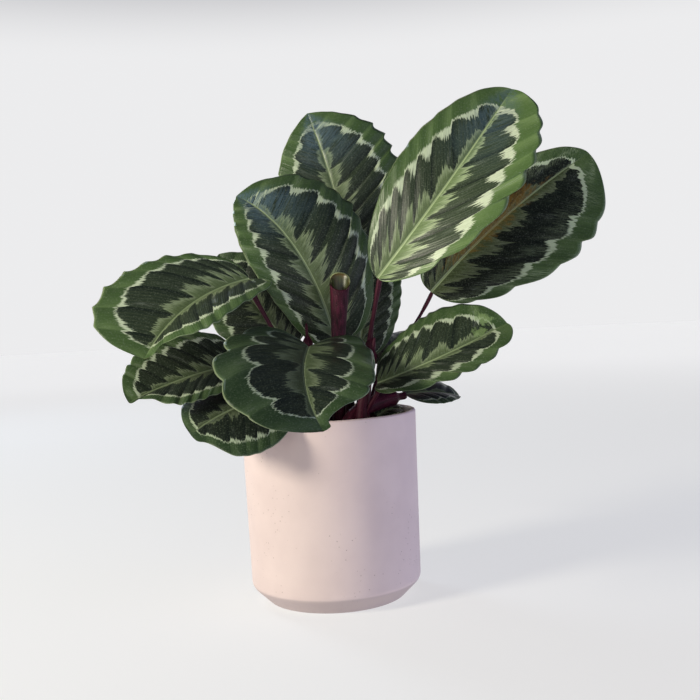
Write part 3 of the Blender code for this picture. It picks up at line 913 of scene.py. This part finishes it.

    # painted sheen: pale streaks along the side veins, out towards the margin
    painted_sheen_streaks = fine.ramp(0.46, 0.60) * patches.ramp(0.42, 0.56) * out.ramp(0.35, 0.75)
    colour = blend(painted_sheen_streaks * shadow_and_sheen * 0.8, colour, (0.260, 0.330, 0.190))
    cells = start.noise(place, 900.0, 2.0)
    colour = blend(cells.ramp(0.5, 0.72) * 0.14, colour, (0.300, 0.360, 0.270))
    stripes = (phase * (8 * FULL_TURN)).cos() * out.ramp(0.05, 0.3) * 0.35
    height = fine * 0.5 + vein_gap.ramp(0.03, 0.0) * -0.8 + cells * 0.25 + stripes
    rough = 0.20 + fine * 0.14 + cells * 0.06
    normal = raised(start, height, 0.12 * MM, 0.8)
    end_finish(start, {
        "Base Color": colour, "Roughness": rough, "Normal": normal, "Specular IOR Level": LEAF_GLOSS,
    })
    return made


def leaf_under():
    """The purple underside, greener along its veins."""
    made, start = new_finish("leaf underside")
    _, across, rib_mm = stored(start, "blade")
    phase, seed, _ = stored(start, "vein")
    out = abs(across)
    cell = phase.fraction()
    vein_gap = 0.5 - abs(cell - 0.5)
    fine = start.noise(start.vector(phase * 40, out * 4, seed), 1.0, 2.0, 0.6)
    cloud = start.noise(object_place(start), 45.0, 3.0)
    colour = blend(cloud.ramp(0.3, 0.7), (0.060, 0.012, 0.024), (0.120, 0.026, 0.045))
    lines = (phase * (FINE_LINES * FULL_TURN)).cos()
    colour = blend(fine.ramp(0.4, 0.8) * 0.6, colour, (0.160, 0.055, 0.066))
    colour = blend(lines.ramp(0.2, 1.0) * 0.3, colour, (0.050, 0.009, 0.018))
    # painted fold shade: darker just past each side vein
    colour = blend(cell.ramp(0.35, 0.0) * 0.5, colour, (0.040, 0.008, 0.016))
    colour = blend(vein_gap.ramp(0.035, 0.01) * 0.7, colour, (0.210, 0.090, 0.085))
    colour = blend(abs(rib_mm).ramp(1.6, 0.9) * 0.8, colour, (0.240, 0.100, 0.085))
    colour = blend(out.ramp(0.80, 1.0) * 0.35, colour, (0.075, 0.070, 0.035))
    height = fine * 0.6 + vein_gap.ramp(0.05, 0.0) + lines * 0.4
    normal = raised(start, height, 0.25 * MM, 0.9)
    end_finish(start, {"Base Color": colour, "Roughness": 0.5 + cloud * 0.12, "Normal": normal})
    return made


def stalk_finish():
    made, start = new_finish("burgundy stalk")
    ahead, around, seed = stored(start, "stalk")
    streaks = start.noise(start.vector(ahead * 6, around * 26, seed), 1.0, 3.0, 0.6)
    specks = start.noise(object_place(start), 1400.0, 1.0)
    colour = blend(streaks.ramp(0.3, 0.75), (0.018, 0.003, 0.007), (0.075, 0.010, 0.026))
    colour = blend(specks.ramp(0.62, 0.72) * 0.30, colour, (0.240, 0.090, 0.120))
    colour = blend(ahead.ramp(0.20, 0.08) * 0.5, colour, (0.070, 0.060, 0.025))
    normal = raised(start, streaks + specks * 0.3, 0.15 * MM, 0.7)
    end_finish(start, {
        "Base Color": colour, "Roughness": 0.38 + specks * 0.15, "Normal": normal,
        "Specular IOR Level": STALK_GLOSS,
    })
    return made


def roll_inside():
    made, start = new_finish("inside of the rolled leaf")
    ahead, around, _ = stored(start, "stalk")
    streaks = start.noise(start.vector(ahead * 5, around * 40, 1.0), 1.0, 3.0, 0.6)
    cloud = start.noise(object_place(start), 160.0, 2.0)
    colour = blend(streaks.ramp(0.3, 0.7), (0.018, 0.022, 0.006), (0.070, 0.080, 0.024))
    colour = blend(cloud.ramp(0.5, 0.68) * 0.7, colour, (0.090, 0.052, 0.008))
    colour = blend(ahead.ramp(0.985, 1.0), colour, (0.520, 0.600, 0.300))
    normal = raised(start, streaks, 0.1 * MM, 0.6)
    end_finish(start, {"Base Color": colour, "Roughness": 0.35, "Normal": normal})
    return made


def pot_finish():
    """Matt blush stoneware with a fine grain, faint clouding, pin-holes and a few iron specks, with painted
    shade on the chamfer and painted light inside the wall.
    """
    made, start = new_finish("blush stoneware")
    place = object_place(start)
    grain = start.noise(place, 2600.0, 2.0, 0.7)
    cloud = start.noise(place, 24.0, 3.0, 0.55)
    x, y, height = place.parts()
    colour = blend(cloud.ramp(0.3, 0.7), (0.610, 0.500, 0.488), (0.660, 0.545, 0.528))
    colour = blend(grain.ramp(0.35, 0.75) * 0.10, colour, (0.480, 0.410, 0.400))
    pocked = start.noise(place, 30.0, 1.0).ramp(0.52, 0.60)
    holes = start.spots(place, 260.0).ramp(0.13, 0.08) * pocked
    colour = blend(holes * 0.75, colour, (0.300, 0.230, 0.210))
    specked = start.noise(place, 55.0, 1.0).ramp(0.6, 0.7)
    specks = start.spots(place, 150.0).ramp(0.10, 0.05) * specked
    colour = blend(specks * 0.5, colour, (0.420, 0.330, 0.300))
    colour = blend(height.ramp(1.2 * MM, 0.2 * MM) * 0.4, colour, (0.500, 0.420, 0.390))
    # painted shade: the chamfer darker
    painted_chamfer_shade = height.ramp(CHAMFER_HEIGHT + MM, CHAMFER_HEIGHT - MM)
    colour = blend(painted_chamfer_shade * 0.7, colour, (0.400, 0.330, 0.330))
    # painted light: the inside of the wall pale cream, fading out below the soil's level
    painted_inner_light = start.vector(x, y).length().ramp(POT_RADIUS - 0.4 * WALL, POT_RADIUS - 0.6 * WALL)
    colour = blend(painted_inner_light * height.ramp(CHAMFER_HEIGHT, SOIL_TOP), colour, (0.900, 0.840, 0.760))
    normal = raised(start, grain * 0.35 + cloud * 0.8 - holes * 1.5, 0.12 * MM, 0.7)
    end_finish(start, {"Base Color": colour, "Roughness": 0.60 + grain * 0.2, "Normal": normal})
    return made


def soil_finish(name, colour, lighter=2.6):
    made, start = new_finish(name)
    place = object_place(start)
    grit = start.noise(place, 900.0, 3.0, 0.7)
    clump = start.noise(place, 140.0, 3.0, 0.6)
    light = tuple(min(1, c * lighter) for c in colour)
    shade = blend(grit.ramp(0.35, 0.75), colour, light)
    shade = blend(clump.ramp(0.3, 0.7) * 0.6, shade, tuple(c * 0.5 for c in colour))
    normal = raised(start, grit + clump, 0.6 * MM)
    end_finish(start, {"Base Color": shade, "Roughness": 0.8 + grit * 0.15, "Normal": normal})
    return made


# ---------------------------------------------------------------- camera, floor and lights

LENS = 49
SENSOR_WIDTH = 36
NEAREST = 0.01
CAMERA_PLACE = (0, -0.766, 0.224)
CAMERA_TIP, CAMERA_ROLL, CAMERA_TURN = 2.1, 2.9, 1.6  # degrees
FLOOR_RADIUS = 9.0
FLOOR_THICKNESS = 0.002
LAMPS = {  # place, aim, size, power, colour and whether it shows in reflections
    "key": ((-1.6, -0.9, 0.9), (0, 0, 0.2), 0.55, 36, (1.0, 0.94, 0.76), True),
    "cool fill": ((1.5, -0.5, 0.2), (0, 0, 0.07), 0.9, 8, (0.30, 0.37, 1.0), False),
    "sky": ((-1.1, 1.5, 1.3), (0, 0, 0.25), 0.6, 10, (0.72, 0.86, 1.0), True),
}


def place_camera():
    """A short way above the rim's height, a little turned, tipped down and rolled."""
    data = bpy.data.cameras.new("camera")
    data.lens = LENS
    data.sensor_width = SENSOR_WIDTH
    data.clip_start = NEAREST
    camera = bpy.data.objects.new("camera", data)
    camera.location = CAMERA_PLACE
    angles = (90 - CAMERA_TIP, CAMERA_ROLL, -CAMERA_TURN)
    camera.rotation_euler = [math.radians(angle) for angle in angles]
    bpy.context.scene.collection.objects.link(camera)
    bpy.context.scene.camera = camera


def lamp(name, place, aim, size, power, colour, shine):
    data = bpy.data.lights.new(name, "AREA")
    data.shape = "DISK"
    data.size = size
    data.energy = power
    data.color = colour
    light = bpy.data.objects.new(name, data)
    light.location = place
    light.rotation_euler = (Vector(aim) - Vector(place)).to_track_quat("-Z", "Y").to_euler()
    light.visible_camera = False
    light.visible_glossy = shine
    bpy.context.scene.collection.objects.link(light)


def make_stage():
    """A pale floor that runs out to a pale horizon under a dim ceiling, and soft lamps."""
    made, start = new_finish("pale paper")
    far = object_place(start).length().ramp(0.5, 3.5)
    glow = blend(far, (0.56, 0.56, 0.56), (0.75, 0.75, 0.75))
    end_finish(start, {
        "Base Color": (0.35, 0.35, 0.35), "Roughness": 0.9, "Emission Color": glow, "Emission Strength": 1.0,
    })
    under = [(0, -FLOOR_THICKNESS), (FLOOR_RADIUS, -FLOOR_THICKNESS)]
    floor = lathe("floor", under + [(FLOOR_RADIUS, 0.0), (0, 0.0)], made, 96)

    for name, values in LAMPS.items():
        lamp(name, *values)
    world = bpy.data.worlds.new("room")
    world.use_nodes = True
    world.node_tree.nodes.clear()
    start = Field(world.node_tree)
    _, _, height = start.node("ShaderNodeTexCoord", {}, {}, "Generated").parts()
    colour = blend(height.ramp(0.42, 0.26), (0.07, 0.07, 0.11), (0.84, 0.84, 0.85))
    light = start.node("ShaderNodeBackground", {}, {"Color": colour})
    start.node("ShaderNodeOutputWorld", {}, {"Surface": light})
    bpy.context.scene.world = world
    bpy.context.scene.view_settings.view_transform = "Standard"


# ---------------------------------------------------------------- the plant

OWN_LOOKS = {  # blemishes as place, size and colour; painted blue sky reflection; painted shadow on the field, with painted sheen streaks
    "high_right": {"sky_reflection": 0.5},
    "far_right": {
        "blemishes": [((0.42, 0.16), (0.28, 0.26), (0.150, 0.092, 0.018)),
                      ((0.56, 0.30), (0.12, 0.20), (0.100, 0.060, 0.012))],
        "shadow_and_sheen": 0.8,
    },
    "high_back": {"sky_reflection": 0.8},
    "middle": {"sky_reflection": 0.8},
    "right": {
        "blemishes": [((0.88, 0.50), (0.06, 0.26), (0.230, 0.340, 0.140)),
                      ((0.80, 0.16), (0.05, 0.16), (0.200, 0.300, 0.110))],
    },
}


def make_leaves():
    blades, stalks = blade_tree(), stalk_tree()
    upper, under, skin = leaf_upper("leaf upper side"), leaf_under(), stalk_finish()
    usual = (STALK_FOOT_RADIUS, STALK_NECK_RADIUS, STALK_TOP_RADIUS)
    for seed, (name, leaf) in enumerate(LEAVES.items()):
        own = leaf_upper(f"leaf upper side {name}", **OWN_LOOKS[name]) if name in OWN_LOOKS else upper
        grow_blade(name, leaf, blades, seed, own, under)
        radii = [radius * share for radius, share in zip(usual, leaf.stout)]
        grow_stalk(name, blade_stalk_route(leaf), radii, stalks, seed, skin, f"stalk_{name}")
    axis = (ROLL_MOUTH - ROLL_FOOT).normalized()
    route = stalk_route(ROLL_STALK_FOOT, ROLL_FOOT + axis * ROLL_OVERLAP, axis)
    grow_stalk("rolled_leaf", route, ROLL_STALK_RADII, stalks, len(LEAVES), skin, "stalk_rolled_leaf")
    for seed, (side, (foot, tip)) in enumerate(SHEATHS.items()):
        tip = Vector(tip) * MM
        heading = (tip - Vector((*foot, 0)) * MM - Vector((0, 0, SOIL_TOP))).normalized()
        route = stalk_route(foot, tip, heading)
        grow_stalk(f"sheath_{side}", route, SHEATH_RADII, stalks, SHEATH_SEED + seed, skin)
    values = {
        "Foot radius": ROLL_RADII[0], "Mouth radius": ROLL_RADII[1], "Turns": ROLL_TURNS,
        "Slant": math.tan(ROLL_SLANT), "Start turn": ROLL_START, "Sheet thickness": ROLL_SHEET,
        "Foot": ROLL_FOOT, "Mouth": ROLL_MOUTH, "Outside": skin, "Inside": roll_inside(), **ROLL_POINTS,
    }
    roll = grow("leaf_rolled", roll_tree(), values)
    declare(roll, "leaf", "rolled_leaf")


place_camera()
make_stage()
make_pot()
make_crumbs(make_soil())
make_leaves()
